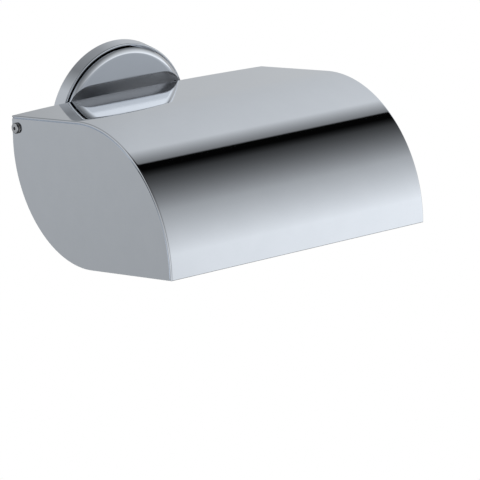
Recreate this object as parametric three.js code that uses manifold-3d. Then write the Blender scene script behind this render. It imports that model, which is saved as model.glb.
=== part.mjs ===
// Wall-mounted toilet paper holder with a hinged, curved cover.
//
// Millimetres, +Z up. The origin is the centre of the wall plate's back face, which
// lies on the wall (the plane y = 0). +X runs along the cover's width, and -Y points
// out of the wall towards the user. The cover hangs on a hinge bar close behind its
// rear edge. The roll slides onto a bent bar, from its free end on the +X side.

import * as THREE from "three";
import { mergeVertices } from "three/addons/utils/BufferGeometryUtils.js";
import Module from "manifold-3d";

const wasm = await Module();
wasm.setup();

// ---------- driving dimensions ----------

const GAP = 0.3; // clearance between pieces that touch
const ROUND_SEGMENTS = 56;
const SMALL_SEGMENTS = 24;

// Cover. Its outline is drawn in its own plane: u runs forward from the rear top edge
// along the flat top, and v runs up, square to the top.
const COVER_WIDTH = 130;
const COVER_TILT = THREE.MathUtils.degToRad(9.3); // the flat top rises to the front
const COVER_REAR_Y = -17.0;
const COVER_REAR_Z = 15.1;
const SHEET = 1.2;
const CHEEK = 1.5;
const TOP_FLAT = 43.9;
const FRONT_RADIUS = 52.8;
const FRONT_SWEEP = THREE.MathUtils.degToRad(97.8);
const BOTTOM_FLAT = 52.0;
const REAR_RADIUS = 45.3;
const REAR_SWEEP = THREE.MathUtils.degToRad(97.0);
const REAR_BOW = 6.5; // how far the rear edge bows back at the middle

// Hinge, in the cover's plane.
const PIVOT_U = 2.7;
const PIVOT_V = -5.0;
const HINGE_BAR_RADIUS = 3.0;
const HINGE_BAR_HALF = 62.3;
const SCREW_HEAD_RADIUS = 2.2;
const SCREW_HEAD_HEIGHT = 0.9;
const SCREW_SOCKET_RADIUS = 0.8;
const SCREW_SOCKET_DEPTH = 0.6;
const SCREW_SHANK_RADIUS = 1.2;
const SCREW_LENGTH = 8;
const BUSH_RADIUS = 1.95;
const BUSH_FLANGE_RADIUS = 3.3;
const BUSH_FLANGE = 0.6;

// Flange on the wall.
const PLATE_RADIUS = 25.5;
const PLATE = 2.0;
const PLATE_SLOT_X = 17;
const PLATE_SLOT_RADIUS = 2.4;
const PLATE_SLOT_TRAVEL = 4;
const SPIGOT_RADIUS = 6.0;
const SPIGOT_END = -8.2;
const RING_RADIUS = 33.0;
const RING_FRONT = 32.5; // the ring tapers to this radius
const RING_INNER = 31.5;
const RING_DEPTH = 6.0;
const RING_LIP = 1.2;
const RING_EDGE = 0.4;
const BODY_RADIUS = 31.0;
const SHOULDER_WIDTH = 2.7;
const SHOULDER_ROUND = 4.7; // radius of the arc across that width
const BODY_FACE = 8.2; // the face's height over the wall at its rim
const BODY_CROWN = 0.3; // how much higher the face is at its middle
const CHANNEL_FLOOR = 3.5;
const CHANNEL_HALF_HEIGHT = 18.0;
const CHANNEL_CORNER = 11.5; // radius of the corners where it runs out through the side
const CHANNEL_CORNER_X = 18.5; // where the corners' arcs are centred

// Arm that carries the hinge bar and the roll bar.
const ARM_HALF_WIDTH = 9;
const ARM_HUB_RADIUS = 9;
const ARM_HUB_Z = -4;
const ARM_HUB_FRONT = -10;
const ARM_BOTTOM = -13;
const NECK_TOP = 0.2;
const NOSE_REAR = -18.4;
const NOSE_FRONT = -31;
const NOSE_TOP_V = -3.9; // under the cover, in the cover's plane
const BUFFER_RADIUS = 2.8;
const BUFFER_U = 9.5;
const BUFFER_X = 5;

// Roll bar.
const ROLL_BAR_RADIUS = 4;
const ROLL_BAR_ROOT = new THREE.Vector3(1, -18, -6);
const ROLL_BAR_LEG_X = -57;
const SPINDLE_Y = -68.6;
const SPINDLE_Z = -14;
const SPINDLE_END = 47;
const BEND = 11;
const CAP_RADIUS = 5.6;
const CAP_LENGTH = 8;
const CAP_DEPTH = 5;

// Screws that lock the bars and the arm.
const GRUB_RADIUS = 2;
const GRUB_Y = -6.2;
const BAR_SCREW_X = 5;
const BAR_SCREW_RADIUS = 1.6;
const BAR_SCREW_HEAD_RADIUS = 3;
const BAR_SCREW_HEAD = 2;
const SET_SCREW_X = -5;

// ---------- materials ----------

const chrome = () => new THREE.MeshStandardMaterial({ color: 0xc9ced6, roughness: 0.06, metalness: 1 });
const zinc = () => new THREE.MeshStandardMaterial({ color: 0x9ea3a6, roughness: 0.45, metalness: 1 });
const steel = () => new THREE.MeshStandardMaterial({ color: 0x8d9196, roughness: 0.25, metalness: 1 });
const nylon = () => new THREE.MeshStandardMaterial({ color: 0xe6e4dc, roughness: 0.5, metalness: 0 });
const rubber = () => new THREE.MeshStandardMaterial({ color: 0x232426, roughness: 0.8, metalness: 0 });

// ---------- helpers ----------

// A geometry with merged vertices and nothing but positions.
function weld(geometry) {
  const copy = geometry.clone();
  for (const name of Object.keys(copy.attributes)) {
    if (name !== "position") copy.deleteAttribute(name);
  }
  return mergeVertices(copy, 1e-4);
}

function toSolid(geometry) {
  const welded = weld(geometry);
  return new wasm.Manifold(new wasm.Mesh({
    numProp: 3,
    vertProperties: new Float32Array(welded.attributes.position.array),
    triVerts: new Uint32Array(welded.index.array),
  }));
}

function toGeometry(solid) {
  const mesh = solid.getMesh();
  const geometry = new THREE.BufferGeometry();
  geometry.setAttribute("position", new THREE.BufferAttribute(new Float32Array(mesh.vertProperties), 3));
  geometry.setIndex(new THREE.BufferAttribute(new Uint32Array(mesh.triVerts), 1));
  geometry.computeVertexNormals();
  return geometry;
}

function cut(base, ...tools) {
  return toGeometry(tools.reduce((solid, tool) => solid.subtract(toSolid(tool)), toSolid(base)));
}

function join(base, ...others) {
  return toGeometry(others.reduce((solid, other) => solid.add(toSolid(other)), toSolid(base)));
}

// A cylinder along the X, Y or Z axis, from one coordinate to another on that axis.
function rod(axis, radius, from, to, at, segments = SMALL_SEGMENTS) {
  const geometry = new THREE.CylinderGeometry(radius, radius, Math.abs(to - from), segments);
  if (axis === "x") geometry.rotateZ(Math.PI / 2);
  if (axis === "z") geometry.rotateX(Math.PI / 2);
  const centre = new THREE.Vector3(at.x ?? 0, at.y ?? 0, at.z ?? 0);
  centre[axis] = (from + to) / 2;
  return geometry.translate(centre.x, centre.y, centre.z);
}

// A solid of revolution about the Y axis. The profile is [radius, y] pairs, and its
// outer side runs from the wall to the front.
function turned(profile, segments = ROUND_SEGMENTS) {
  const points = profile.map(([radius, y]) => new THREE.Vector2(radius, y)).reverse();
  return new THREE.LatheGeometry(points, segments);
}

// Extrudes a shape drawn in (forward, up) across X, from one x to another.
function acrossX(shape, fromX, toX, curveSegments = 12) {
  const geometry = new THREE.ExtrudeGeometry(shape, {
    depth: toX - fromX, bevelEnabled: false, curveSegments,
  });
  const basis = new THREE.Matrix4().makeBasis(
    new THREE.Vector3(0, -1, 0), new THREE.Vector3(0, 0, 1), new THREE.Vector3(-1, 0, 0));
  return geometry.applyMatrix4(basis).translate(toX, 0, 0);
}

// Extrudes a shape drawn in (x, z) along Y, from the wall side to the front.
function alongY(shape, backY, frontY, curveSegments = 8) {
  const geometry = new THREE.ExtrudeGeometry(shape, {
    depth: backY - frontY, bevelEnabled: false, curveSegments,
  });
  return geometry.rotateX(Math.PI / 2).translate(0, backY, 0);
}

function named(name, geometry, material) {
  const mesh = new THREE.Mesh(geometry, material);
  mesh.name = name;
  return mesh;
}

// A point of the cover's plane in the holder's frame.
function coverPoint(u, v) {
  const cos = Math.cos(COVER_TILT);
  const sin = Math.sin(COVER_TILT);
  return { y: COVER_REAR_Y - u * cos + v * sin, z: COVER_REAR_Z + u * sin + v * cos };
}

const PIVOT = coverPoint(PIVOT_U, PIVOT_V);

// ---------- cover ----------

// The front bottom corner of the cover's outline.
function frontCorner(radius) {
  return {
    u: TOP_FLAT + radius * Math.sin(FRONT_SWEEP),
    v: -FRONT_RADIUS + radius * Math.cos(FRONT_SWEEP),
  };
}

// The sheet's section: a flat top that runs into the round front.
function sheetSection() {
  const endAngle = Math.PI / 2 - FRONT_SWEEP;
  const inner = FRONT_RADIUS - SHEET;
  const shape = new THREE.Shape();
  shape.moveTo(0, 0);
  shape.lineTo(TOP_FLAT, 0);
  shape.absarc(TOP_FLAT, -FRONT_RADIUS, FRONT_RADIUS, Math.PI / 2, endAngle, true);
  const corner = frontCorner(inner);
  shape.lineTo(corner.u, corner.v);
  shape.absarc(TOP_FLAT, -FRONT_RADIUS, inner, endAngle, Math.PI / 2, false);
  shape.lineTo(0, -SHEET);
  shape.closePath();
  return shape;
}

// The bowed strip along the rear edge, drawn in (x, u).
function rearBow(halfWidth) {
  const overlap = 2;
  const radius = (halfWidth * halfWidth + REAR_BOW * REAR_BOW) / (2 * REAR_BOW);
  const half = Math.asin(halfWidth / radius);
  const shape = new THREE.Shape();
  shape.moveTo(halfWidth, 0);
  shape.lineTo(halfWidth, overlap);
  shape.lineTo(-halfWidth, overlap);
  shape.lineTo(-halfWidth, 0);
  shape.absarc(0, radius - REAR_BOW, radius, -Math.PI / 2 - half, -Math.PI / 2 + half, false);
  const geometry = new THREE.ExtrudeGeometry(shape, { depth: SHEET, bevelEnabled: false, curveSegments: 9 });
  return geometry.rotateX(Math.PI);
}

// The sheet wraps over the edges of both cheeks.
function coverSheet() {
  const half = COVER_WIDTH / 2;
  return join(acrossX(sheetSection(), -half, half), rearBow(half));
}

// The leaf-shaped outline of the cover's sides, close inside the sheet.
function cheekOutline() {
  const inset = SHEET + GAP;
  const corner = frontCorner(FRONT_RADIUS);
  const shape = new THREE.Shape();
  shape.moveTo(0, -inset);
  shape.lineTo(TOP_FLAT, -inset);
  shape.absarc(TOP_FLAT, -FRONT_RADIUS, FRONT_RADIUS - inset, Math.PI / 2, Math.PI / 2 - FRONT_SWEEP, true);
  shape.lineTo(corner.u - BOTTOM_FLAT, corner.v);
  shape.absarc(corner.u - BOTTOM_FLAT, corner.v + REAR_RADIUS, REAR_RADIUS,
    -Math.PI / 2, -Math.PI / 2 - REAR_SWEEP, true);
  shape.closePath();
  return shape;
}

function cheek(side) {
  const outer = side * COVER_WIDTH / 2;
  const inner = outer - side * CHEEK;
  const plate = acrossX(cheekOutline(), Math.min(outer, inner), Math.max(outer, inner));
  const hole = rod("x", BUSH_RADIUS + GAP, inner - side, outer + side, { y: -PIVOT_U, z: PIVOT_V });
  return cut(plate, hole);
}

// ---------- hinge ----------

function hingeBar() {
  const bar = rod("x", HINGE_BAR_RADIUS, -HINGE_BAR_HALF, HINGE_BAR_HALF, PIVOT);
  const depth = SCREW_LENGTH - 1;
  const holes = [-1, 1].map((side) => rod("x", SCREW_SHANK_RADIUS + GAP,
    side * (HINGE_BAR_HALF - depth), side * (HINGE_BAR_HALF + 1), PIVOT));
  const lock = rod("z", BAR_SCREW_RADIUS + GAP, PIVOT.z - HINGE_BAR_RADIUS - 1, PIVOT.z,
    { x: BAR_SCREW_X, y: PIVOT.y });
  return cut(bar, ...holes, lock);
}

function pivotScrew(side) {
  const seat = side * (COVER_WIDTH / 2 + GAP);
  const top = seat + side * SCREW_HEAD_HEIGHT;
  const head = rod("x", SCREW_HEAD_RADIUS, seat, top, PIVOT);
  const shank = rod("x", SCREW_SHANK_RADIUS, seat + side * 0.2, seat - side * SCREW_LENGTH, PIVOT, 16);
  const socket = rod("x", SCREW_SOCKET_RADIUS, top - side * SCREW_SOCKET_DEPTH, top + side, PIVOT, 6);
  return cut(join(head, shank), socket);
}

function pivotBush(side) {
  const centre = { y: -PIVOT_U, z: PIVOT_V };
  const outer = side * (COVER_WIDTH / 2 - 0.1);
  const seat = side * (COVER_WIDTH / 2 - CHEEK - GAP);
  const sleeve = rod("x", BUSH_RADIUS, seat - side * 0.2, outer, centre);
  const flange = rod("x", BUSH_FLANGE_RADIUS, seat - side * BUSH_FLANGE, seat, centre);
  const bore = rod("x", SCREW_SHANK_RADIUS + GAP, seat - side * 2, outer + side, centre);
  return cut(join(sleeve, flange), bore);
}

// ---------- flange ----------

function wallPlate() {
  const plate = turned([[0, 0], [PLATE_RADIUS, 0], [PLATE_RADIUS, -PLATE], [0, -PLATE]]);
  const spigot = rod("y", SPIGOT_RADIUS, -PLATE + 0.5, SPIGOT_END, { z: ARM_HUB_Z });
  const slots = [-1, 1].map((side) => {
    const shape = new THREE.Shape();
    const x = side * PLATE_SLOT_X;
    shape.absarc(x, PLATE_SLOT_TRAVEL / 2, PLATE_SLOT_RADIUS, 0, Math.PI, false);
    shape.absarc(x, -PLATE_SLOT_TRAVEL / 2, PLATE_SLOT_RADIUS, Math.PI, 2 * Math.PI, false);
    shape.closePath();
    return alongY(shape, 1, -PLATE - 1, 6);
  });
  return cut(join(plate, spigot), ...slots);
}

function flangeRing() {
  const lipInner = PLATE_RADIUS + 0.4;
  return turned([
    [lipInner, 0],
    [RING_RADIUS, 0],
    [RING_FRONT, -RING_DEPTH + RING_EDGE],
    [RING_FRONT - RING_EDGE, -RING_DEPTH],
    [RING_INNER, -RING_DEPTH],
    [RING_INNER, -RING_LIP],
    [lipInner, -RING_LIP],
    [lipInner, 0],
  ]);
}

// A channel with rounded corners, open at both sides, drawn in (x, z).
function channelOutline() {
  const x = CHANNEL_CORNER_X;
  const z = CHANNEL_HALF_HEIGHT - CHANNEL_CORNER;
  const open = BODY_RADIUS + 1;
  const shape = new THREE.Shape();
  shape.moveTo(open, -z);
  shape.lineTo(open, z);
  shape.absarc(x, z, CHANNEL_CORNER, 0, Math.PI / 2, false);
  shape.absarc(-x, z, CHANNEL_CORNER, Math.PI / 2, Math.PI, false);
  shape.lineTo(-open, z);
  shape.lineTo(-open, -z);
  shape.absarc(-x, -z, CHANNEL_CORNER, Math.PI, 1.5 * Math.PI, false);
  shape.absarc(x, -z, CHANNEL_CORNER, 1.5 * Math.PI, 2 * Math.PI, false);
  shape.closePath();
  return shape;
}

// The dome-edged disc: a rounded shoulder, a slightly crowned face, and a wide channel
// across the face that leaves the cover's rear edge room to swing.
function flangeBody() {
  const rim = -RING_LIP - GAP;
  const profile = [[0, -PLATE - GAP], [PLATE_RADIUS + GAP, -PLATE - GAP], [PLATE_RADIUS + GAP, rim],
    [BODY_RADIUS, rim]];
  const faceRadius = BODY_RADIUS - SHOULDER_WIDTH;
  const shoulderSteps = 5;
  for (let i = 0; i <= shoulderSteps; i++) {
    const across = SHOULDER_WIDTH * (1 - i / shoulderSteps);
    const drop = SHOULDER_ROUND - Math.sqrt(SHOULDER_ROUND ** 2 - across ** 2);
    profile.push([faceRadius + across, -BODY_FACE + drop]);
  }
  const crownSteps = 3;
  for (let i = 1; i <= crownSteps; i++) {
    const ratio = 1 - i / crownSteps;
    profile.push([faceRadius * ratio, -BODY_FACE - BODY_CROWN * (1 - ratio * ratio)]);
  }
  const channel = alongY(channelOutline(), -CHANNEL_FLOOR, -BODY_FACE - 2);
  const hole = rod("y", SPIGOT_RADIUS + GAP, 0, -BODY_FACE, { z: ARM_HUB_Z });
  return cut(turned(profile), channel, hole);
}

// ---------- arm ----------

// The arm's side view, drawn in (forward, up). Behind the nose it stays low, so that
// the cover's rear edge can swing down over it.
function armOutline() {
  const front = -NOSE_FRONT;
  const rear = -NOSE_REAR;
  const seat = HINGE_BAR_RADIUS + GAP;
  const pivot = -PIVOT.y;
  const seatStart = Math.acos((rear - pivot) / seat);
  const wall = coverPoint(PIVOT_U + seat + 0.2, NOSE_TOP_V);
  const tip = coverPoint(front - 19, NOSE_TOP_V);
  const shape = new THREE.Shape();
  shape.moveTo(-ARM_HUB_FRONT - 3, NECK_TOP);
  shape.lineTo(-ARM_HUB_FRONT - 3, ARM_BOTTOM);
  shape.lineTo(rear + 4, ARM_BOTTOM);
  shape.quadraticCurveTo(front - 3, ARM_BOTTOM + 4, front - 0.6, 4);
  shape.quadraticCurveTo(front + 0.6, tip.z - 2, -tip.y, tip.z);
  shape.lineTo(pivot + seat, wall.z);
  shape.absarc(pivot, PIVOT.z, seat, 0, -seatStart, true);
  shape.lineTo(rear, NECK_TOP);
  shape.closePath();
  return shape;
}

function arm() {
  const hub = rod("y", ARM_HUB_RADIUS, -CHANNEL_FLOOR - GAP, ARM_HUB_FRONT, { z: ARM_HUB_Z }, 32);
  const block = acrossX(armOutline(), -ARM_HALF_WIDTH, ARM_HALF_WIDTH, 6);
  const socket = rod("y", SPIGOT_RADIUS + GAP, 0, SPIGOT_END - GAP, { z: ARM_HUB_Z });
  const grub = rod("z", GRUB_RADIUS + GAP, ARM_BOTTOM - 2, ARM_HUB_Z, { x: 0, y: GRUB_Y });
  const rollBore = rod("x", ROLL_BAR_RADIUS + GAP, -ARM_HALF_WIDTH - 1, ROLL_BAR_ROOT.x + GAP, ROLL_BAR_ROOT);
  const setBore = rod("z", GRUB_RADIUS + GAP, ARM_BOTTOM - 1, ROLL_BAR_ROOT.z,
    { x: SET_SCREW_X, y: ROLL_BAR_ROOT.y });
  const barBore = rod("z", BAR_SCREW_RADIUS + GAP, ARM_BOTTOM - 1, PIVOT.z, { x: BAR_SCREW_X, y: PIVOT.y });
  const barHead = rod("z", BAR_SCREW_HEAD_RADIUS + GAP, ARM_BOTTOM - 1, ARM_BOTTOM + BAR_SCREW_HEAD + GAP,
    { x: BAR_SCREW_X, y: PIVOT.y });
  return cut(join(block, hub), socket, grub, rollBore, setBore, barBore, barHead);
}

// A headless screw with a hexagon socket in its lower end.
function grubScrew(x, y, bottom, top) {
  const body = rod("z", GRUB_RADIUS, bottom, top, { x, y }, 16);
  const socket = rod("z", GRUB_RADIUS * 0.5, bottom - 1, bottom + 1.2, { x, y }, 6);
  return cut(body, socket);
}

function barScrew() {
  const at = { x: BAR_SCREW_X, y: PIVOT.y };
  const head = rod("z", BAR_SCREW_HEAD_RADIUS, ARM_BOTTOM, ARM_BOTTOM + BAR_SCREW_HEAD, at);
  const shank = rod("z", BAR_SCREW_RADIUS, ARM_BOTTOM + 1, PIVOT.z - GAP, at, 16);
  const socket = rod("z", BAR_SCREW_RADIUS, ARM_BOTTOM - 1, ARM_BOTTOM + 1.2, at, 6);
  return cut(join(head, shank), socket);
}

function stopBuffer(side) {
  const thickness = -SHEET - GAP - NOSE_TOP_V - GAP;
  const pad = new THREE.CylinderGeometry(BUFFER_RADIUS - 0.4, BUFFER_RADIUS, thickness, 20);
  const centre = NOSE_TOP_V + GAP + thickness / 2;
  return pad.rotateX(Math.PI / 2).translate(side * BUFFER_X, -BUFFER_U, centre);
}

// ---------- roll bar ----------

// A round bend between two straight stretches, as a curve that touches both.
function bend(corner, towardsStart, towardsEnd) {
  const from = corner.clone().addScaledVector(towardsStart, BEND);
  const to = corner.clone().addScaledVector(towardsEnd, BEND);
  return new THREE.QuadraticBezierCurve3(from, corner, to);
}

function rollBar() {
  const root = ROLL_BAR_ROOT;
  const first = new THREE.Vector3(ROLL_BAR_LEG_X, root.y, root.z);
  const second = new THREE.Vector3(ROLL_BAR_LEG_X, SPINDLE_Y, SPINDLE_Z);
  const end = new THREE.Vector3(SPINDLE_END, SPINDLE_Y, SPINDLE_Z);
  const right = new THREE.Vector3(1, 0, 0);
  const along = second.clone().sub(first).normalize();
  const bendA = bend(first, right, along);
  const bendB = bend(second, along.clone().negate(), right);
  const path = new THREE.CurvePath();
  path.add(new THREE.LineCurve3(root, bendA.v0));
  path.add(bendA);
  path.add(new THREE.LineCurve3(bendA.v2, bendB.v0));
  path.add(bendB);
  path.add(new THREE.LineCurve3(bendB.v2, end));
  const section = new THREE.Shape();
  section.absarc(0, 0, ROLL_BAR_RADIUS, 0, 2 * Math.PI, false);
  return new THREE.ExtrudeGeometry(section, { steps: 72, curveSegments: 7, extrudePath: path });
}

function rollBarCap() {
  const at = { y: SPINDLE_Y, z: SPINDLE_Z };
  const inner = SPINDLE_END - CAP_DEPTH;
  const chamfer = 1;
  const body = rod("x", CAP_RADIUS, inner, inner + CAP_LENGTH - chamfer, at);
  const nose = new THREE.CylinderGeometry(CAP_RADIUS - chamfer, CAP_RADIUS, chamfer + 0.1, SMALL_SEGMENTS);
  nose.rotateZ(-Math.PI / 2).translate(inner + CAP_LENGTH - chamfer / 2 - 0.05, at.y, at.z);
  const bore = rod("x", ROLL_BAR_RADIUS + GAP, inner - 1, SPINDLE_END + GAP, at);
  return cut(join(body, nose), bore);
}

// ---------- assembly ----------

const holder = new THREE.Group();
holder.add(
  named("wall_plate", wallPlate(), zinc()),
  named("flange_ring", flangeRing(), chrome()),
  named("flange_body", flangeBody(), chrome()),
  named("arm", arm(), chrome()),
  named("arm_grub_screw", grubScrew(0, GRUB_Y, ARM_BOTTOM + 0.3, ARM_HUB_Z - SPIGOT_RADIUS - GAP), steel()),
  named("hinge_bar", hingeBar(), chrome()),
  named("hinge_bar_screw", barScrew(), steel()),
  named("roll_bar", rollBar(), chrome()),
  named("roll_bar_set_screw", grubScrew(SET_SCREW_X, ROLL_BAR_ROOT.y, ARM_BOTTOM + 0.1,
    ROLL_BAR_ROOT.z - ROLL_BAR_RADIUS - GAP), steel()),
  named("roll_bar_end_cap", rollBarCap(), chrome()),
);

// What is drawn in the cover's plane: the cover, and the buffers that it rests on.
const cover = new THREE.Group();
cover.position.set(0, COVER_REAR_Y, COVER_REAR_Z);
cover.rotation.x = -COVER_TILT;
cover.add(named("cover_sheet", coverSheet(), chrome()));
holder.add(cover);

for (const [word, side] of [["left", -1], ["right", 1]]) {
  holder.add(named(`pivot_screw_${word}`, pivotScrew(side), steel()));
  cover.add(
    named(`cover_cheek_${word}`, cheek(side), chrome()),
    named(`pivot_bush_${word}`, pivotBush(side), nylon()),
    named(`stop_buffer_${word}`, stopBuffer(side), rubber()),
  );
}

export default holder;
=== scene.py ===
"""The looks of a wall-mounted toilet paper holder with a hinged, curved chrome cover.

Sizes are in millimetres, and become metres where a mesh is made. The origin is the centre
of the flange's back, the wall is the plane y = 0, and the user stands on the -Y side.
"""

import math

import bmesh
import bpy
from mathutils import Matrix, Vector

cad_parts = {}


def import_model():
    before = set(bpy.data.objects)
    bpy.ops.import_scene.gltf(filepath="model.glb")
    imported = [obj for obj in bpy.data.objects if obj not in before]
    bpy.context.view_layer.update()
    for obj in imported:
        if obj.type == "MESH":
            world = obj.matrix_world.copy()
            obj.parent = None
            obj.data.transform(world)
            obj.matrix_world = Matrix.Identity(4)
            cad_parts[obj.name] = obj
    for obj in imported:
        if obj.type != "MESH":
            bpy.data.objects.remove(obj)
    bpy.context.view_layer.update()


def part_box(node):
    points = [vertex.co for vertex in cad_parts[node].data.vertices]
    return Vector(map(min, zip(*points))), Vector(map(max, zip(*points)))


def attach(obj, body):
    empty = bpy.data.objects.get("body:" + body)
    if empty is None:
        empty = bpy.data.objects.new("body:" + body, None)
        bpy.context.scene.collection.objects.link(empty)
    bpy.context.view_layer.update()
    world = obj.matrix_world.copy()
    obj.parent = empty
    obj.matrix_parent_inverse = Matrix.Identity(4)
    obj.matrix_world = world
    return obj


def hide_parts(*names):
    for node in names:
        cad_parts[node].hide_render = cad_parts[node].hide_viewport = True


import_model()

MM = 0.001

# ---------- driving sizes, as in the CAD ----------

GAP = 0.3
SEAM = 0.02  # the soldered seam between the cover's sheet and its sides

# Cover, drawn in its own plane: u forward from the rear top edge, v square to the flat top.
COVER_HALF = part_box("cover_sheet")[1].x / MM
COVER_TILT = math.radians(9.3)
COVER_REAR = (-17.0, 15.1)  # y and z
SHEET = 1.2
SHEET_ROUND = 0.6  # the side edges' outer radius
SHEET_EDGE = 0.35  # the other edges' radius
CHEEK = 1.5
CHEEK_EDGE = 0.05
TOP_FLAT = 43.9
FRONT_RADIUS = 52.8
FRONT_SWEEP = math.radians(97.8)
BOTTOM_FLAT = 52.0
REAR_RADIUS = 45.3
REAR_SWEEP = math.radians(97.0)
REAR_BOW = 6.5

# Hinge.
PIVOT_UV = (2.7, -5.0)
BAR_RADIUS = 3.0
BAR_HALF = 62.3
HEAD_RADIUS = 2.2
HEAD_HEIGHT = 0.9
SOCKET_RADIUS = 0.8
SOCKET_DEPTH = 0.6
SHANK_RADIUS = 1.2
SCREW_LENGTH = 8
BUSH_RADIUS = 1.95
BUSH_FLANGE_RADIUS = 3.3
BUSH_FLANGE = 0.6

# Flange.
PLATE_RADIUS = 25.5
PLATE = 2.0
SLOT_X = 17
SLOT_RADIUS = 2.4
SLOT_TRAVEL = 4
SPIGOT_RADIUS = 6.0
SPIGOT_END = -8.2
RING_RADIUS = 33.0
RING_INNER = 31.5
RING_DEPTH = 6.0
RING_LIP = 1.2
RING_FRONT = 32.5  # the ring tapers to this radius
BODY_RADIUS = 31.0
SHOULDER_WIDTH = 2.7
SHOULDER_ROUND = 4.7  # radius of the arc across that width
BODY_FACE = 8.2
BODY_CROWN = 0.3
CHANNEL_FLOOR = 3.5
CHANNEL_HALF = 18.0
CHANNEL_CORNER = 11.5
CHANNEL_CORNER_X = 18.5
CHANNEL_EDGE = 0.3

# Arm.
ARM_HALF = 9
ARM_EDGE = 0.9
HUB_RADIUS = 9
HUB_Z = -4
HUB_FRONT = -10
ARM_BOTTOM = -13
NECK_TOP = 0.2
NOSE_REAR = -18.4
NOSE_FRONT = -31
NOSE_TOP_V = -3.9
BUFFER_RADIUS = 2.8
BUFFER_U = 9.5
BUFFER_X = 5

# Roll bar and the screws that lock things.
ROLL_RADIUS = 4
ROLL_ROOT = Vector((1, -18, -6))
ROLL_LEG_X = -57
SPINDLE = (-68.6, -14)  # y and z
SPINDLE_END = 47
BEND = 11
CAP_RADIUS = 5.6
CAP_LENGTH = 8
CAP_DEPTH = 5
GRUB_RADIUS = 2
GRUB_Y = -6.2
BAR_SCREW_X = 5
BAR_SCREW_RADIUS = 1.6
BAR_SCREW_HEAD = (3, 2)  # radius and height
SET_SCREW_X = -5

ROUND_STEPS = 6  # facets in a small rounded edge


# ---------- materials ----------

class Shader:
    """A node material that is built up step by step around one Principled shader."""

    def __init__(self, name, colour, metallic, roughness):
        self.material = bpy.data.materials.new(name)
        self.material.use_nodes = True
        self.tree = self.material.node_tree
        self.shader = self.tree.nodes["Principled BSDF"]
        self.shader.inputs["Base Color"].default_value = (*colour, 1)
        self.shader.inputs["Metallic"].default_value = metallic
        self.shader.inputs["Roughness"].default_value = roughness

    def node(self, kind, **values):
        node = self.tree.nodes.new(kind)
        for key, value in values.items():
            node.inputs[key.replace("_", " ")].default_value = value
        return node

    def link(self, source, target):
        self.tree.links.new(source, target)

    def noise(self, scale, stretch=(1, 1, 1), detail=3.0):
        """Noise in the object's own space. Scale counts features per metre."""
        place = self.tree.nodes.new("ShaderNodeTexCoord")
        mapping = self.node("ShaderNodeMapping", Scale=stretch)
        noise = self.node("ShaderNodeTexNoise", Scale=scale, Detail=detail, Roughness=0.6)
        self.link(place.outputs["Object"], mapping.inputs["Vector"])
        self.link(mapping.outputs["Vector"], noise.inputs["Vector"])
        return noise.outputs["Fac"]

    def spread(self, source, low, high, cut=(0.3, 0.7)):
        """The source's middle range spread over low to high."""
        mapped = self.tree.nodes.new("ShaderNodeMapRange")
        for key, value in zip(("From Min", "From Max", "To Min", "To Max"), (*cut, low, high)):
            mapped.inputs[key].default_value = value
        self.link(source, mapped.inputs["Value"])
        return mapped.outputs["Result"]

    def rough(self, source, low, high):
        self.link(self.spread(source, low, high), self.shader.inputs["Roughness"])

    def tint(self, source, first, second):
        mix = self.tree.nodes.new("ShaderNodeMix")
        mix.data_type = "RGBA"
        mix.inputs["A"].default_value = (*first, 1)
        mix.inputs["B"].default_value = (*second, 1)
        self.link(self.spread(source, 0, 1), mix.inputs["Factor"])
        self.link(mix.outputs["Result"], self.shader.inputs["Base Color"])

    def bump(self, source, height, strength=1.0):
        bump = self.node("ShaderNodeBump", Strength=strength, Distance=height)
        self.link(source, bump.inputs["Height"])
        self.link(bump.outputs["Normal"], self.shader.inputs["Normal"])


def chrome(name, low, high):
    """Plated metal: a cool grey mirror with faint polishing haze."""
    m = Shader(name, (0.88, 0.91, 0.955), 1, (low + high) / 2)
    haze = m.noise(90, detail=4)
    m.tint(haze, (0.868, 0.898, 0.943), (0.888, 0.918, 0.963))
    m.rough(haze, low, high)
    m.bump(m.noise(2600, detail=1), 0.0000012)
    return m.material


def cover_inside():
    """The inside of the cover: less polished than the outside, and a darker colour that is painted shade
    under the cover.
    """
    m = Shader("cover_inside_satin_and_painted_shade", (0.55, 0.56, 0.58), 1, 0.25)
    cloud = m.noise(260, detail=4)
    m.tint(cloud, (0.54, 0.55, 0.57), (0.56, 0.57, 0.59))
    m.rough(cloud, 0.24, 0.26)
    m.bump(m.noise(2400), 0.000004)
    return m.material


def channel_satin_and_painted_shade():
    """The sunk channel's plating: duller than the rest of the chrome, and a darker colour that is painted
    shade in the recess.
    """
    m = Shader("channel_chrome_satin_painted_shade", (0.42, 0.43, 0.45), 1, 0.3)
    cloud = m.noise(300, detail=4)
    m.tint(cloud, (0.41, 0.42, 0.44), (0.43, 0.44, 0.46))
    m.rough(cloud, 0.29, 0.31)
    return m.material


def cast_zinc():
    m = Shader("zinc_plated", (0.58, 0.60, 0.62), 1, 0.4)
    grain = m.noise(700, detail=5)
    m.tint(grain, (0.52, 0.54, 0.56), (0.66, 0.68, 0.69))
    m.rough(grain, 0.32, 0.5)
    m.bump(m.noise(1800), 0.00002)
    return m.material


def machined(name, first, second, low, high):
    """Turned steel with fine marks around the axis."""
    m = Shader(name, first, 1, (low + high) / 2)
    marks = m.noise(1500, stretch=(3, 1, 1))
    m.tint(marks, first, second)
    m.rough(marks, low, high)
    m.bump(marks, 0.000006)
    return m.material


def nylon():
    m = Shader("nylon_moulded", (0.86, 0.85, 0.80), 0, 0.45)
    cloud = m.noise(500)
    m.tint(cloud, (0.83, 0.82, 0.77), (0.89, 0.88, 0.84))
    m.rough(cloud, 0.38, 0.52)
    m.bump(m.noise(3000), 0.00001)
    m.shader.inputs["Subsurface Weight"].default_value = 0.1
    m.shader.inputs["Subsurface Radius"].default_value = (0.001, 0.001, 0.001)
    return m.material


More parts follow.
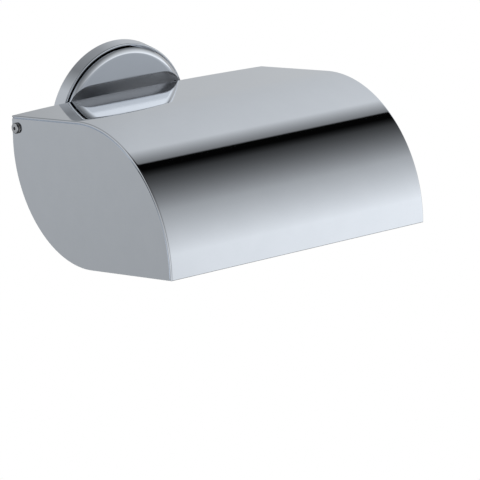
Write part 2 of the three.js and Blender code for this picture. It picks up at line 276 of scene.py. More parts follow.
def rubber():
    m = Shader("rubber_moulded", (0.025, 0.026, 0.028), 0, 0.75)
    grain = m.noise(2200)
    m.tint(grain, (0.02, 0.021, 0.023), (0.036, 0.037, 0.04))
    m.rough(grain, 0.65, 0.85)
    m.bump(grain, 0.00003)
    return m.material


CHROME = chrome("chrome_polished", 0.02, 0.04)
CHROME_COVER = chrome("chrome_cover_polished", 0.025, 0.045)
COVER_INSIDE_PAINTED_SHADE = cover_inside()
CHANNEL_SATIN_AND_PAINTED_SHADE = channel_satin_and_painted_shade()
ZINC = cast_zinc()
BRIGHT_STEEL = machined("bright_steel", (0.66, 0.67, 0.69), (0.76, 0.77, 0.78), 0.16, 0.26)
# Dark steel is the blackened screws' own colour; on the pivot screws it is also painted shade in the socket
# and a painted reflection round the head's side.
DARK_STEEL_AND_PAINTED_SHADE = machined("dark_steel", (0.10, 0.10, 0.11), (0.16, 0.16, 0.17), 0.3, 0.42)
NYLON = nylon()
RUBBER = rubber()


# ---------- mesh helpers ----------

def cover_point(u, v, x=0.0):
    """A point of the cover's plane in the holder's frame."""
    cos, sin = math.cos(COVER_TILT), math.sin(COVER_TILT)
    return Vector((x, COVER_REAR[0] - u * cos + v * sin, COVER_REAR[1] + u * sin + v * cos))


PIVOT = cover_point(*PIVOT_UV)


def mesh_object(name, points, faces):
    """A closed mesh from points in millimetres, with its faces pointing out."""
    mesh = bpy.data.meshes.new(name)
    mesh.from_pydata([Vector(p) * MM for p in points], [], faces)
    bm = bmesh.new()
    bm.from_mesh(mesh)
    bmesh.ops.remove_doubles(bm, verts=bm.verts, dist=2e-7)
    bmesh.ops.dissolve_degenerate(bm, edges=bm.edges, dist=1e-8)
    bmesh.ops.recalc_face_normals(bm, faces=bm.faces)
    bm.to_mesh(mesh)
    bm.free()
    obj = bpy.data.objects.new(name, mesh)
    bpy.context.scene.collection.objects.link(obj)
    return obj


def rounded(corners):
    """A path through corners (a, b) or (a, b, radius), each radius turned into an arc."""
    path = []
    for i, corner in enumerate(corners):
        here = Vector(corner[:2])
        if len(corner) == 2:
            path.append(here)
            continue
        back = Vector(corners[i - 1][:2]) - here
        ahead = Vector(corners[(i + 1) % len(corners)][:2]) - here
        half = back.angle(ahead) / 2
        reach = corner[2] / math.tan(half)
        start, end = here + back.normalized() * reach, here + ahead.normalized() * reach
        centre = here + (back.normalized() + ahead.normalized()).normalized() * corner[2] / math.sin(half)
        first, last = start - centre, end - centre
        turn = math.atan2(first.x * last.y - first.y * last.x, first.dot(last))
        for k in range(ROUND_STEPS + 1):
            spin = turn * k / ROUND_STEPS
            cos, sin = math.cos(spin), math.sin(spin)
            path.append(centre + Vector((first.x * cos - first.y * sin, first.x * sin + first.y * cos)))
    return path


def axis_x(y, z):
    return lambda radius, along, a: Vector((along, y + radius * math.cos(a), z + radius * math.sin(a)))


def axis_y(x, z):
    return lambda radius, along, a: Vector((x + radius * math.cos(a), along, z + radius * math.sin(a)))


def axis_z(x, y):
    return lambda radius, along, a: Vector((x + radius * math.cos(a), y + radius * math.sin(a), along))


def cover_axis(x, u):
    """The axis that stands square on the cover's flat top."""
    return lambda radius, along, a: cover_point(u + radius * math.sin(a), along, x + radius * math.cos(a))


def lathe(name, profile, place, segments=96):
    """Turns a closed (radius, along) profile about an axis."""
    points, faces = [], []
    count = len(profile)
    for i in range(segments):
        angle = 2 * math.pi * i / segments
        points += [place(max(r, 0.0), along, angle) for r, along in profile]
    for i in range(segments):
        this, following = i * count, (i + 1) % segments * count
        for j in range(count):
            k = (j + 1) % count
            if profile[j][0] < 1e-6 and profile[k][0] < 1e-6:
                continue
            faces.append((this + j, this + k, following + k, following + j))
    return mesh_object(name, points, faces)


def inset(outline, distance):
    """A closed outline moved inwards, with its corners mitred. It runs clockwise."""
    moved = []
    for i, point in enumerate(outline):
        back = (point - outline[i - 1]).normalized()
        ahead = (outline[(i + 1) % len(outline)] - point).normalized()
        first, second = Vector((back.y, -back.x)), Vector((ahead.y, -ahead.x))
        moved.append(point + (first + second) * distance / (1 + first.dot(second)))
    return moved


def clockwise(outline):
    """The outline without repeated points, in clockwise order."""
    clean = [p for i, p in enumerate(outline) if (p - outline[i - 1]).length > 1e-4]
    area = sum(a.x * b.y - b.x * a.y for a, b in zip(clean, clean[1:] + clean[:1]))
    return clean if area < 0 else clean[::-1]


def slab(name, outline, low, high, edge, place):
    """A plate of an outline from one height to another, with rounded edges of one radius."""
    outline = clockwise(outline)
    quarter = [math.pi / 2 * k / ROUND_STEPS for k in range(ROUND_STEPS + 1)]
    levels = [(low + edge * (1 - math.sin(a)), edge * (1 - math.cos(a))) for a in reversed(quarter)]
    levels += [(high - edge * (1 - math.sin(a)), edge * (1 - math.cos(a))) for a in quarter]
    points, faces, count = [], [], len(outline)
    for height, distance in levels:
        points += [place(p.x, p.y, height) for p in inset(outline, distance)]
    for row in range(len(levels) - 1):
        for j in range(count):
            k = (j + 1) % count
            faces.append((row * count + j, row * count + k, (row + 1) * count + k, (row + 1) * count + j))
    faces.append(tuple(range(count)))
    faces.append(tuple((len(levels) - 1) * count + j for j in range(count)))
    return mesh_object(name, points, faces)


def prism(outline, place, low, high):
    """A sharp-edged cutter of an outline."""
    count = len(outline)
    points = [place(p[0], p[1], h) for h in (low, high) for p in outline]
    faces = [(j, (j + 1) % count, count + (j + 1) % count, count + j) for j in range(count)]
    faces += [tuple(range(count)), tuple(range(count, 2 * count))]
    return mesh_object("cutter", points, faces)


def rod(radius, place, low, high, segments=48):
    """A cutter that is round, or a hexagon with 6 segments."""
    return lathe("cutter", [(0, low), (radius, low), (radius, high), (0, high)], place, segments)


def combine(piece, tool, operation="DIFFERENCE"):
    """Cuts a tool from a piece, or joins it on, for good."""
    modifier = piece.modifiers.new("combine", "BOOLEAN")
    modifier.operation = operation
    modifier.solver = "EXACT"
    modifier.object = tool
    bpy.context.view_layer.update()
    shaped = piece.evaluated_get(bpy.context.evaluated_depsgraph_get())
    mesh = bpy.data.meshes.new_from_object(shaped)
    piece.modifiers.clear()
    piece.data = mesh
    bpy.data.objects.remove(tool)
    return piece


def finish_piece(piece, material, body, node, sharp=32):
    """Smooth shading with sharp creases, the finish, the body it rides and its CAD node."""
    piece.data.materials.clear()
    piece.data.materials.append(material)
    piece.data.shade_smooth()
    piece.data.set_sharp_from_angle(angle=math.radians(sharp))
    weighted = piece.modifiers.new("even_faces", "WEIGHTED_NORMAL")
    weighted.keep_sharp = True
    weighted.weight = 90
    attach(piece, body)
    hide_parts(node)
    return piece


def refinish(piece, material, chosen):
    """Gives the chosen faces of a piece another finish."""
    piece.data.materials.append(material)
    for face in piece.data.polygons:
        if chosen(face):
            face.material_index = 1
    return piece


# ---------- cover ----------

def outwards(point):
    """The way out of the cover's curved sheet at a point of it."""
    offset = point / MM - cover_point(0, 0)
    cos, sin = math.cos(COVER_TILT), math.sin(COVER_TILT)
    u, v = -offset.y * cos + offset.z * sin, offset.y * sin + offset.z * cos
    return cover_point(max(u - TOP_FLAT, 0), v + FRONT_RADIUS) - cover_point(0, 0)


def rear_bow(x):
    """How far the rear edge bows back at a place along it."""
    radius = (COVER_HALF ** 2 + REAR_BOW ** 2) / (2 * REAR_BOW)
    return math.sqrt(radius ** 2 - x ** 2) - (radius - REAR_BOW)


def sheet_stations():
    """Rows from the rear edge to the front one: how much the row shrinks, then a function
    of (x, depth under the outer face) that gives the point."""
    def on_flat(share, step):
        def point(x, depth):
            rear = -rear_bow(x) + step
            return cover_point(rear + (TOP_FLAT - rear) * share, -depth, x)
        return point

    def on_arc(angle):
        def point(x, depth):
            radius = FRONT_RADIUS - depth
            return cover_point(TOP_FLAT + radius * math.sin(angle),
                               -FRONT_RADIUS + radius * math.cos(angle), x)
        return point

    quarter = [math.pi / 2 * k / ROUND_STEPS for k in range(ROUND_STEPS + 1)]
    edge = SHEET_EDGE
    rows = [(edge * (1 - math.sin(a)), on_flat(0, edge * (1 - math.cos(a)))) for a in quarter]
    flat_rows, arc_rows = 24, 110
    rows += [(0, on_flat(k / flat_rows, edge)) for k in range(1, flat_rows)]
    last = FRONT_SWEEP - edge / FRONT_RADIUS
    rows += [(0, on_arc(last * k / arc_rows)) for k in range(arc_rows)]
    rows += [(edge * (1 - math.sin(a)), on_arc(FRONT_SWEEP - edge * (1 - math.cos(a)) / FRONT_RADIUS))
             for a in reversed(quarter)]
    return rows


def sheet_section():
    """The sheet's section across its width, as (x, depth) points all the way round."""
    flat = COVER_HALF - SHEET_ROUND
    columns = 44
    outer = [(-flat + 2 * flat * k / columns, 0.0) for k in range(columns + 1)]
    outer[1:1] = [(-flat + 0.4, 0.0)]
    outer[-1:-1] = [(flat - 0.4, 0.0)]
    corner = [(flat + SHEET_ROUND * math.sin(a), SHEET_ROUND * (1 - math.cos(a)))
              for a in (math.pi / 2 * k / 10 for k in range(1, 11))]
    under = [(x, SHEET) for x, _ in reversed(outer)]
    left = [(-x, depth) for x, depth in reversed(corner)]
    return outer, corner, under, left


def cover_sheet():
    outer, corner, under, left = sheet_section()
    loop = outer + corner + under + left
    count = len(loop)
    points, faces = [], []
    rows = sheet_stations()
    for shrink, point in rows:
        for x, depth in loop:
            limit = COVER_HALF - shrink
            points.append(point(max(-limit, min(limit, x)), max(shrink, min(SHEET - shrink, depth))))
    for row in range(len(rows) - 1):
        for j in range(count):
            k = (j + 1) % count
            faces.append((row * count + j, row * count + k, (row + 1) * count + k, (row + 1) * count + j))
    wide = len(outer)
    first_under = wide + len(corner)
    for start in (0, (len(rows) - 1) * count):
        for j in range(wide - 1):
            opposite = first_under + wide - 1 - j
            faces.append((start + j, start + j + 1, start + opposite - 1, start + opposite))
        faces.append(tuple(start + j for j in range(wide - 1, first_under + 1)))
        faces.append(tuple(start + j for j in (*range(first_under + wide - 1, count), 0)))
    piece = mesh_object("cover_curved_sheet", points, faces)
    finish_piece(piece, CHROME_COVER, "cover", "cover_sheet")
    # The inward faces of the sheet take the darker inside finish, which is painted shade under the cover.
    return refinish(piece, COVER_INSIDE_PAINTED_SHADE,
                    lambda face: face.normal.dot(outwards(face.center).normalized()) < -0.8)


def cheek_outline():
    """The leaf shape of the cover's sides, close inside the sheet."""
    under = SHEET + SEAM
    radius = FRONT_RADIUS - under
    corner = (TOP_FLAT + FRONT_RADIUS * math.sin(FRONT_SWEEP),
              -FRONT_RADIUS + FRONT_RADIUS * math.cos(FRONT_SWEEP))
    outline = [Vector((0, -under)), Vector((TOP_FLAT, -under))]
    steps = 110
    for k in range(1, steps + 1):
        a = FRONT_SWEEP * k / steps
        outline.append(Vector((TOP_FLAT + radius * math.sin(a), -FRONT_RADIUS + radius * math.cos(a))))
    rear = (corner[0] - BOTTOM_FLAT, corner[1] + REAR_RADIUS)
    for k in range(steps + 1):
        a = REAR_SWEEP * k / steps
        outline.append(Vector((rear[0] - REAR_RADIUS * math.sin(a), rear[1] - REAR_RADIUS * math.cos(a))))
    return outline


def cheek(word, side):
    outer = side * COVER_HALF
    inner = outer - side * CHEEK
    low, high = sorted((outer, inner))
    plate = slab(f"cover_side_{word}", cheek_outline(), low, high, CHEEK_EDGE, cover_point)
    combine(plate, rod(BUSH_RADIUS + GAP, axis_x(PIVOT.y, PIVOT.z), inner - side, outer + side))
    finish_piece(plate, CHROME_COVER, "cover", f"cover_cheek_{word}")
    # The cheek's inner face takes the darker inside finish, which is painted shade under the cover.
    return refinish(plate, COVER_INSIDE_PAINTED_SHADE, lambda face: face.normal.x * side < -0.8)


# ---------- hinge ----------

def hinge_bar():
    bore = SHANK_RADIUS + GAP
    floor = BAR_HALF - SCREW_LENGTH + 1
    half = [(0, floor), (bore, floor), (bore, BAR_HALF, 0.2), (BAR_RADIUS, BAR_HALF, 0.4)]
    mirrored = [(c[0], -c[1], *c[2:]) for c in reversed(half)]
    bar = lathe("hinge_rod", rounded(half + mirrored), axis_x(PIVOT.y, PIVOT.z))
    lock = rod(BAR_SCREW_RADIUS + GAP, axis_z(BAR_SCREW_X, PIVOT.y), PIVOT.z - BAR_RADIUS - 1, PIVOT.z)
    combine(bar, lock)
    return finish_piece(bar, CHROME, "bracket", "hinge_bar")


def pivot_screw(word, side):
    seat = side * (COVER_HALF + GAP)
    top = seat + side * HEAD_HEIGHT
    tip = seat - side * SCREW_LENGTH
    profile = rounded([(0, tip), (SHANK_RADIUS, tip, 0.3), (SHANK_RADIUS, seat),
                       (HEAD_RADIUS, seat, 0.15), (HEAD_RADIUS, top, 0.4), (0, top)])
    place = axis_x(PIVOT.y, PIVOT.z)
    screw = lathe(f"pivot_screw_socketed_{word}", profile, place, 64)
    combine(screw, rod(SOCKET_RADIUS, place, top - side * SOCKET_DEPTH, top + side, 6))
    finish_piece(screw, BRIGHT_STEEL, "bracket", f"pivot_screw_{word}")
    # Painted shade and reflection: the socket and the head's side below its top edge take the dark steel, as
    # does the shank, standing in for shade in the socket and the dark that the side mirrors.
    return refinish(screw, DARK_STEEL_AND_PAINTED_SHADE, lambda face: side * (top - face.center.x / MM) > SOCKET_DEPTH / 3)


def pivot_bush(word, side):
    outer = side * (COVER_HALF - 0.1)
    seat = side * (COVER_HALF - CHEEK - GAP)
    inner = seat - side * BUSH_FLANGE
    bore = SHANK_RADIUS + GAP
    profile = rounded([(bore, inner, 0.1), (BUSH_FLANGE_RADIUS, inner, 0.2), (BUSH_FLANGE_RADIUS, seat, 0.1),
                       (BUSH_RADIUS, seat), (BUSH_RADIUS, outer, 0.1), (bore, outer, 0.1)])
    bush = lathe(f"pivot_bush_top_hat_{word}", profile, axis_x(PIVOT.y, PIVOT.z), 64)
    return finish_piece(bush, NYLON, "cover", f"pivot_bush_{word}")


# ---------- flange ----------

def wall_plate():
    profile = rounded([(0, 0), (PLATE_RADIUS, 0, 0.3), (PLATE_RADIUS, -PLATE, 0.6), (0, -PLATE)])
    plate = lathe("wall_plate_steel", profile, axis_y(0, 0), 128)
    spigot = rounded([(0, -PLATE + 0.5), (SPIGOT_RADIUS, -PLATE + 0.5), (SPIGOT_RADIUS, SPIGOT_END, 0.6),
                      (0, SPIGOT_END)])
    combine(plate, lathe("cutter", spigot, axis_y(0, HUB_Z), 64), "UNION")
    for side in (-1, 1):
        slot = []
        for end in (1, -1):
            for k in range(17):
                a = math.pi * k / 16 + (0 if end == 1 else math.pi)
                slot.append((side * SLOT_X + SLOT_RADIUS * math.cos(a),
                             end * SLOT_TRAVEL / 2 + SLOT_RADIUS * math.sin(a)))
        combine(plate, prism(slot, lambda x, z, y: Vector((x, y, z)), -PLATE - 1, 1))
    return finish_piece(plate, ZINC, "bracket", "wall_plate")


def flange_ring():
    lip = PLATE_RADIUS + 0.4
    profile = rounded([(lip, 0), (RING_RADIUS, 0, 0.2), (RING_FRONT, -RING_DEPTH, 0.45),
                       (RING_INNER, -RING_DEPTH, 0.15), (RING_INNER, -RING_LIP), (lip, -RING_LIP)])
    ring = lathe("flange_outer_ring", profile, axis_y(0, 0), 256)
    return finish_piece(ring, CHROME, "bracket", "flange_ring")


def channel_radius(angle):
    """How far from the centre the channel's side is, at an angle about the flange's axis."""
    ray = Vector((abs(math.cos(angle)), abs(math.sin(angle))))
    corner = Vector((CHANNEL_CORNER_X, CHANNEL_HALF - CHANNEL_CORNER))
    if ray.x * CHANNEL_HALF <= ray.y * corner.x:
        return CHANNEL_HALF / ray.y
    along = ray.dot(corner)
    inside = along ** 2 - corner.length_squared + CHANNEL_CORNER ** 2
    return along + math.sqrt(inside) if inside > 0 else math.inf


def face_height(radius):
    """The domed face's height over the wall."""
    rim = BODY_RADIUS - SHOULDER_WIDTH
    if radius <= rim:
        return BODY_FACE + BODY_CROWN * (1 - (radius / rim) ** 2)
    return BODY_FACE - SHOULDER_ROUND + math.sqrt(SHOULDER_ROUND ** 2 - (radius - rim) ** 2)


def raised_section(start, wall_steps=6, face_steps=14, shoulder_steps=10):
    """The raised part's section as (radius, height): up the channel's wall, over its edge,
    across the face, round the shoulder and down its side to the channel's floor."""
    edge = min(CHANNEL_EDGE, (BODY_RADIUS - start) / 2)
    top = face_height(start + edge)
    wall = top - edge
    rim = BODY_RADIUS - SHOULDER_WIDTH
    section = [(start, CHANNEL_FLOOR + (wall - CHANNEL_FLOOR) * k / wall_steps)
               for k in range(wall_steps + 1)]
    for k in range(1, ROUND_STEPS + 1):
        a = math.pi / 2 * k / ROUND_STEPS
        section.append((start + edge * (1 - math.cos(a)), wall + edge * math.sin(a)))
    inner = start + edge
    for k in range(1, face_steps + 1):
        radius = max(inner, inner + (rim - inner) * k / face_steps)
        section.append((radius, face_height(radius)))
    for k in range(1, shoulder_steps + 1):
        radius = max(inner, rim + SHOULDER_WIDTH * k / shoulder_steps)
        section.append((radius, face_height(radius)))
    side = face_height(BODY_RADIUS)
    section += [(BODY_RADIUS, side + (CHANNEL_FLOOR - side) * k / wall_steps)
                for k in range(1, wall_steps + 1)]
    return section


def channel_exit():
    """The angle at which the channel's side meets the body's rim."""
    low, high = 0.0, math.pi / 4
    for _ in range(50):
        middle = (low + high) / 2
        low, high = (middle, high) if channel_radius(middle) > BODY_RADIUS else (low, middle)
    return high


def flange_body():
    """The domed disc, meshed ray by ray: the channel's floor, the two raised parts beside
    it, and the underside that fits over the wall plate."""
    leave = channel_exit()
    steps = 128
    rays = []
    for turn in (0, math.pi):
        for first, last, raised in ((-leave, leave, False), (leave, math.pi - leave, True)):
            part = round(steps * (last - first) / math.pi)
            rays += [(turn + first + (last - first) * k / part, raised) for k in range(part + int(raised))]
    rim, pocket = RING_LIP + GAP, PLATE_RADIUS + GAP
    under = [(BODY_RADIUS, CHANNEL_FLOOR), (BODY_RADIUS, rim + 0.2), (BODY_RADIUS - 0.2, rim), (pocket, rim),
             (pocket, PLATE + GAP), (0, PLATE + GAP)]
    points, floors, raises, unders = [], [], [], []

    def add(section, angle):
        start = len(points)
        points.extend(Vector((r * math.cos(angle), -h, r * math.sin(angle))) for r, h in section)
        return range(start, len(points))

    for angle, raised in rays:
        start = min(channel_radius(angle), BODY_RADIUS) if raised else BODY_RADIUS
        floors.append(add([(start * k / 8, CHANNEL_FLOOR) for k in range(9)], angle))
        raises.append(add(raised_section(start), angle) if raised else None)
        unders.append(add(under, angle))
    faces = []
    for strips in (floors, raises, unders):
        for i, here in enumerate(strips):
            after = strips[(i + 1) % len(strips)]
            if here is None or after is None:
                continue
            faces += [(here[j], here[j + 1], after[j + 1], after[j]) for j in range(len(here) - 1)]
    body = mesh_object("flange_domed_body", points, faces)
    hole = rod(SPIGOT_RADIUS + GAP, axis_y(0, HUB_Z), -BODY_FACE, 1, 64)
    combine(body, hole)
    finish_piece(body, CHROME, "bracket", "flange_body")

    def in_channel(face):
        middle = face.center / MM
        radius, height = math.hypot(middle.x, middle.z), -middle.y
        on_wall = CHANNEL_FLOOR < height < BODY_FACE - 0.5 and abs(face.normal.y) < 0.3
        on_floor = abs(height - CHANNEL_FLOOR) < 0.05 and face.normal.y < -0.9
        return on_floor or on_wall and radius < BODY_RADIUS - 0.5

    # The channel's floor and walls take the darker plating, which is painted shade in the recess.
    return refinish(body, CHANNEL_SATIN_AND_PAINTED_SHADE, in_channel)


# ---------- arm ----------

def quadratic(start, control, end, steps=14):
    """Points of a quadratic curve after its start."""
    return [start.lerp(control, k / steps).lerp(control.lerp(end, k / steps), k / steps)
            for k in range(1, steps + 1)]


def arm_outline():
    """The arm's side view as (forward, up)."""
    front, rear, pivot = -NOSE_FRONT, -NOSE_REAR, -PIVOT.y
    seat = BAR_RADIUS + GAP
    start = math.acos((rear - pivot) / seat)
    wall = cover_point(PIVOT_UV[0] + seat + 0.2, NOSE_TOP_V)
    tip = cover_point(front - 19, NOSE_TOP_V)
    outline = [Vector((-HUB_FRONT - 3, NECK_TOP)), Vector((-HUB_FRONT - 3, ARM_BOTTOM)),
               Vector((rear + 4, ARM_BOTTOM))]
    shin = Vector((front - 0.6, 4))
    outline += quadratic(outline[-1], Vector((front - 3, ARM_BOTTOM + 4)), shin)
    outline += quadratic(shin, Vector((front + 0.6, tip.z - 2)), Vector((-tip.y, tip.z)))
    outline.append(Vector((pivot + seat, wall.z)))
    steps = 24
    angles = [-start * k / steps for k in range(steps + 1)]
    outline += [Vector((pivot + seat * math.cos(a), PIVOT.z + seat * math.sin(a))) for a in angles]
    outline.append(Vector((rear, NECK_TOP)))
    return outline


def arm():
    place = lambda forward, up, x: Vector((x, -forward, up))
    block = slab("carrier_arm", arm_outline(), -ARM_HALF, ARM_HALF, ARM_EDGE, place)
    rear = -CHANNEL_FLOOR - GAP
    hub = rounded([(0, rear), (HUB_RADIUS, rear, 0.3), (HUB_RADIUS, HUB_FRONT, 0.8), (0, HUB_FRONT)])
    combine(block, lathe("cutter", hub, axis_y(0, HUB_Z), 96), "UNION")
    cuts = [
        rod(SPIGOT_RADIUS + GAP, axis_y(0, HUB_Z), SPIGOT_END - GAP, 0),
        rod(GRUB_RADIUS + GAP, axis_z(0, GRUB_Y), ARM_BOTTOM - 2, HUB_Z),
        rod(ROLL_RADIUS + GAP, axis_x(ROLL_ROOT.y, ROLL_ROOT.z), -ARM_HALF - 1, ROLL_ROOT.x + GAP),
        rod(GRUB_RADIUS + GAP, axis_z(SET_SCREW_X, ROLL_ROOT.y), ARM_BOTTOM - 1, ROLL_ROOT.z),
        rod(BAR_SCREW_RADIUS + GAP, axis_z(BAR_SCREW_X, PIVOT.y), ARM_BOTTOM - 1, PIVOT.z),
        rod(BAR_SCREW_HEAD[0] + GAP, axis_z(BAR_SCREW_X, PIVOT.y), ARM_BOTTOM - 1,
            ARM_BOTTOM + BAR_SCREW_HEAD[1] + GAP),
    ]
    for tool in cuts:
        combine(block, tool)
    return finish_piece(block, CHROME, "bracket", "arm")


def grub_screw(name, node, x, y, bottom, top):
    """A headless screw with a hexagon socket in its lower end."""
    place = axis_z(x, y)
    profile = rounded([(0, bottom), (GRUB_RADIUS, bottom, 0.25), (GRUB_RADIUS, top, 0.4), (0, top)])
    screw = lathe(name, profile, place, 48)
    combine(screw, rod(GRUB_RADIUS * 0.5, place, bottom - 1, bottom + 1.2, 6))
    return finish_piece(screw, DARK_STEEL_AND_PAINTED_SHADE, "bracket", node)


def bar_screw():
    place = axis_z(BAR_SCREW_X, PIVOT.y)
    radius, height = BAR_SCREW_HEAD
    top = PIVOT.z - GAP
    profile = rounded([(0, ARM_BOTTOM), (radius, ARM_BOTTOM, 0.35), (radius, ARM_BOTTOM + height, 0.1),
                       (BAR_SCREW_RADIUS, ARM_BOTTOM + height), (BAR_SCREW_RADIUS, top, 0.3), (0, top)])
    screw = lathe("hinge_bar_cap_screw", profile, place, 64)
    combine(screw, rod(BAR_SCREW_RADIUS, place, ARM_BOTTOM - 1, ARM_BOTTOM + 1.2, 6))
    return finish_piece(screw, DARK_STEEL_AND_PAINTED_SHADE, "bracket", "hinge_bar_screw")


def stop_buffer(word, side):
    low, high = NOSE_TOP_V + GAP, -SHEET - GAP
    profile = rounded([(0, low), (BUFFER_RADIUS, low, 0.2), (BUFFER_RADIUS - 0.4, high, 0.5), (0, high)])
    buffer = lathe(f"rubber_stop_{word}", profile, cover_axis(side * BUFFER_X, BUFFER_U), 48)
    return finish_piece(buffer, RUBBER, "bracket", f"stop_buffer_{word}")


# ---------- roll bar ----------

def roll_path():
    """The bar's centre line: straight stretches joined by two bends."""
    first = Vector((ROLL_LEG_X, ROLL_ROOT.y, ROLL_ROOT.z))
    second = Vector((ROLL_LEG_X, *SPINDLE))
    end = Vector((SPINDLE_END, *SPINDLE))
    along = (second - first).normalized()
    right = Vector((1, 0, 0))
    path = [ROLL_ROOT.copy()]
    for corner, before, after in ((first, right, along), (second, -along, right)):
        path.append(corner + before * BEND)
        path += quadratic(path[-1], corner, corner + after * BEND, 24)
    path.append(end)
    return path


def roll_bar(sides=40):
    path = roll_path()
    edge = 0.5
    quarter = [math.pi / 2 * k / ROUND_STEPS for k in range(ROUND_STEPS + 1)]
    start_way = (path[1] - path[0]).normalized()
    end_way = (path[-1] - path[-2]).normalized()
    rings = [(path[0] + start_way * edge * (1 - math.cos(a)), edge * (1 - math.sin(a))) for a in quarter]
    rings += [(p, 0) for p in path[1:-1]]
    rings += [(path[-1] - end_way * edge * (1 - math.cos(a)), edge * (1 - math.sin(a)))
              for a in reversed(quarter)]
    # Both bends lie in one plane, so one of each ring's two directions stays the same.
    leg = path[26] - path[25]
    normal = start_way.cross(Vector((0, leg.y, leg.z))).normalized()
    points, faces = [], []
    for i, (centre, shrink) in enumerate(rings):
        before, after = rings[max(i - 1, 0)][0], rings[min(i + 1, len(rings) - 1)][0]
        way = (after - before).normalized()
        side = way.cross(normal).normalized()
        for k in range(sides):
            a = 2 * math.pi * k / sides
            points.append(centre + (side * math.cos(a) + normal * math.sin(a)) * (ROLL_RADIUS - shrink))
    for i in range(len(rings) - 1):
        for k in range(sides):
            m = (k + 1) % sides
            faces.append((i * sides + k, i * sides + m, (i + 1) * sides + m, (i + 1) * sides + k))
    faces.append(tuple(range(sides)))
    faces.append(tuple((len(rings) - 1) * sides + k for k in range(sides)))
    bar = mesh_object("roll_holder_bar", points, faces)
    return finish_piece(bar, CHROME, "bracket", "roll_bar")


def end_cap():
    inner = SPINDLE_END - CAP_DEPTH
    outer = inner + CAP_LENGTH
    bore = ROLL_RADIUS + GAP
    profile = rounded([(bore, inner, 0.2), (CAP_RADIUS, inner, 0.6), (CAP_RADIUS, outer, 1.6), (0, outer),
                       (0, SPINDLE_END + GAP), (bore, SPINDLE_END + GAP)])
    cap = lathe("roll_bar_cap", profile, axis_x(*SPINDLE))
    return finish_piece(cap, CHROME, "bracket", "roll_bar_end_cap")


# ---------- studio ----------

TENT_CENTRE = (-0.10, 0.01)  # y and z, at the round front's middle
TENT_RADIUS = 0.5
TENT_HALF = 1.2

# A plain studio: a soft box over the wall side, a dark gap overhead, a front screen that
# brightens downwards, and a dimmer floor. Each pair is an angle about X, from the wall side (0)
# over the top (90) to the front (180), and how bright the tent looks there.
AROUND = ((-90, 0.4), (-45, 0.4), (-30, 0.7), (0, 0.8), (75, 0.85), (90, 0.5), (91, 0.05), (97, 0.05),
          (105, 0.25), (140, 0.7), (180, 1.0), (215, 1.0), (240, 0.5), (270, 0.4))
# The light falls off between the left side and the front, as pairs of x and brightness.
ACROSS = ((-0.6, 0.9), (-0.35, 0.9), (-0.15, 0.6), (0.1, 0.7), (0.3, 0.9), (0.6, 1.0))
LIGHT_COLOUR = (0.97, 1.0, 1.03)
SIDE_PANEL = 0.7  # how bright the tent's two ends look


def light_ramp(tree, factor, pairs):
    """A ramp through the pairs, spread over the factor's range of 0 to 1."""
    first, last = pairs[0][0], pairs[-1][0]
    ramp = tree.nodes.new("ShaderNodeValToRGB")
    stops = ramp.color_ramp.elements
    stops.remove(stops[-1])
    stops[0].color = (*(pairs[0][1],) * 3, 1)
    for place, bright in pairs[1:]:
        stops.new((place - first) / (last - first)).color = (*(bright,) * 3, 1)
    tree.links.new(factor, ramp.inputs["Fac"])
    return ramp.outputs["Color"]


def plain_light(name, bright):
    """An even glow that looks this bright."""
    material = bpy.data.materials.new(name)
    material.use_nodes = True
    tree = material.node_tree
    tree.nodes.clear()
    glow = tree.nodes.new("ShaderNodeEmission")
    glow.inputs["Strength"].default_value = bright ** 2.2
    glow.inputs["Color"].default_value = (1, 1, 1, 1)
    output = tree.nodes.new("ShaderNodeOutputMaterial")
    tree.links.new(glow.outputs["Emission"], output.inputs["Surface"])
    return material


def tent_material():
    material = bpy.data.materials.new("studio_tent")
    material.use_nodes = True
    tree = material.node_tree
    tree.nodes.clear()
    new, link = tree.nodes.new, tree.links.new

    def maths(operation, first, second):
        node = new("ShaderNodeMath")
        node.operation = operation
        for slot, value in zip(node.inputs, (first, second)):
            if isinstance(value, (int, float)):
                slot.default_value = value
            else:
                link(value, slot)
        return node.outputs["Value"]

    split = new("ShaderNodeSeparateXYZ")
    link(new("ShaderNodeNewGeometry").outputs["Position"], split.inputs["Vector"])
    forward = maths("SUBTRACT", split.outputs["Y"], TENT_CENTRE[0])
    above = maths("SUBTRACT", split.outputs["Z"], TENT_CENTRE[1])
    turn = maths("MULTIPLY", maths("ARCTAN2", above, forward), 180 / math.pi)
    around = maths("DIVIDE", maths("FLOORED_MODULO", maths("ADD", turn, 90), 360), 360)
    left, right = ACROSS[0][0], ACROSS[-1][0]
    across = maths("DIVIDE", maths("SUBTRACT", split.outputs["X"], left), right - left)
    bright = maths("MULTIPLY", light_ramp(tree, around, AROUND), light_ramp(tree, across, ACROSS))
    glow = new("ShaderNodeEmission")
    glow.inputs["Color"].default_value = (*LIGHT_COLOUR, 1)
    link(maths("POWER", bright, 2.2), glow.inputs["Strength"])
    link(glow.outputs["Emission"], new("ShaderNodeOutputMaterial").inputs["Surface"])
    return material


def tent():
    centre = [value / MM for value in TENT_CENTRE]
    reach, radius = TENT_HALF / MM, TENT_RADIUS / MM
    shell = lathe("studio_tent", [(0, -reach), (radius, -reach), (radius, reach), (0, reach)],
                  axis_x(*centre), 256)
    shell.data.shade_smooth()
    shell.data.materials.append(tent_material())
    shell.data.materials.append(plain_light("studio_side_panel", SIDE_PANEL))
    for face in shell.data.polygons:
        if abs(face.normal.x) > 0.9:
            face.material_index = 1
    shell.visible_camera = False
    shell.visible_shadow = False


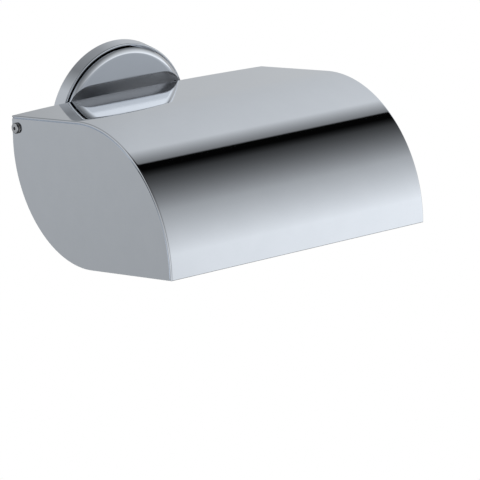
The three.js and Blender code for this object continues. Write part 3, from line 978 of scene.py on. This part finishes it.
def floor():
    """A pale floor far under the object, which hangs on a wall."""
    level, half = -1200, 9000
    points = [(-half, -half, level), (half, -half, level), (half, half, level), (-half, half, level)]
    plane = mesh_object("studio_floor", points, [(0, 1, 2, 3)])
    plane.data.materials.append(plain_light("studio_floor", 1))


def world():
    bpy.context.scene.world = bpy.data.worlds.new("white_room")
    bpy.context.scene.world.use_nodes = True
    background = bpy.context.scene.world.node_tree.nodes["Background"]
    background.inputs["Color"].default_value = (1, 1, 1, 1)
    background.inputs["Strength"].default_value = 1.0


def camera():
    """A long lens, up and to the left, aimed to the right of the flange and below it."""
    azimuth, elevation, roll = math.radians(39.05), math.radians(17.17), math.radians(0.49)
    distance = 1.66667
    aim_right, aim_down = 0.052154, 0.051367
    back = Vector((-math.sin(azimuth) * math.cos(elevation), -math.cos(azimuth) * math.cos(elevation),
                   math.sin(elevation)))
    level = Vector((math.cos(azimuth), -math.sin(azimuth), 0))
    upright = back.cross(level)
    right = level * math.cos(roll) + upright * math.sin(roll)
    up = upright * math.cos(roll) - level * math.sin(roll)
    data = bpy.data.cameras.new("camera")
    data.sensor_width = 36
    data.lens = 300
    data.clip_end = 50
    view = bpy.data.objects.new("camera", data)
    bpy.context.scene.collection.objects.link(view)
    turn = Matrix((right, up, back)).transposed().to_4x4()
    view.matrix_world = Matrix.Translation(back * distance + right * aim_right - up * aim_down) @ turn
    bpy.context.scene.camera = view


# ---------- assembly ----------

camera()
world()
tent()
floor()
bpy.context.scene.view_settings.view_transform = "Standard"

wall_plate()
flange_ring()
flange_body()
arm()
hinge_bar()
roll_bar()
end_cap()
bar_screw()
grub_screw("arm_lock_screw", "arm_grub_screw", 0, GRUB_Y, ARM_BOTTOM + 0.3, HUB_Z - SPIGOT_RADIUS - GAP)
grub_screw("roll_bar_lock_screw", "roll_bar_set_screw", SET_SCREW_X, ROLL_ROOT.y, ARM_BOTTOM + 0.1,
           ROLL_ROOT.z - ROLL_RADIUS - GAP)
cover_sheet()
for word, side in (("left", -1), ("right", 1)):
    cheek(word, side)
    pivot_screw(word, side)
    pivot_bush(word, side)
    stop_buffer(word, side)
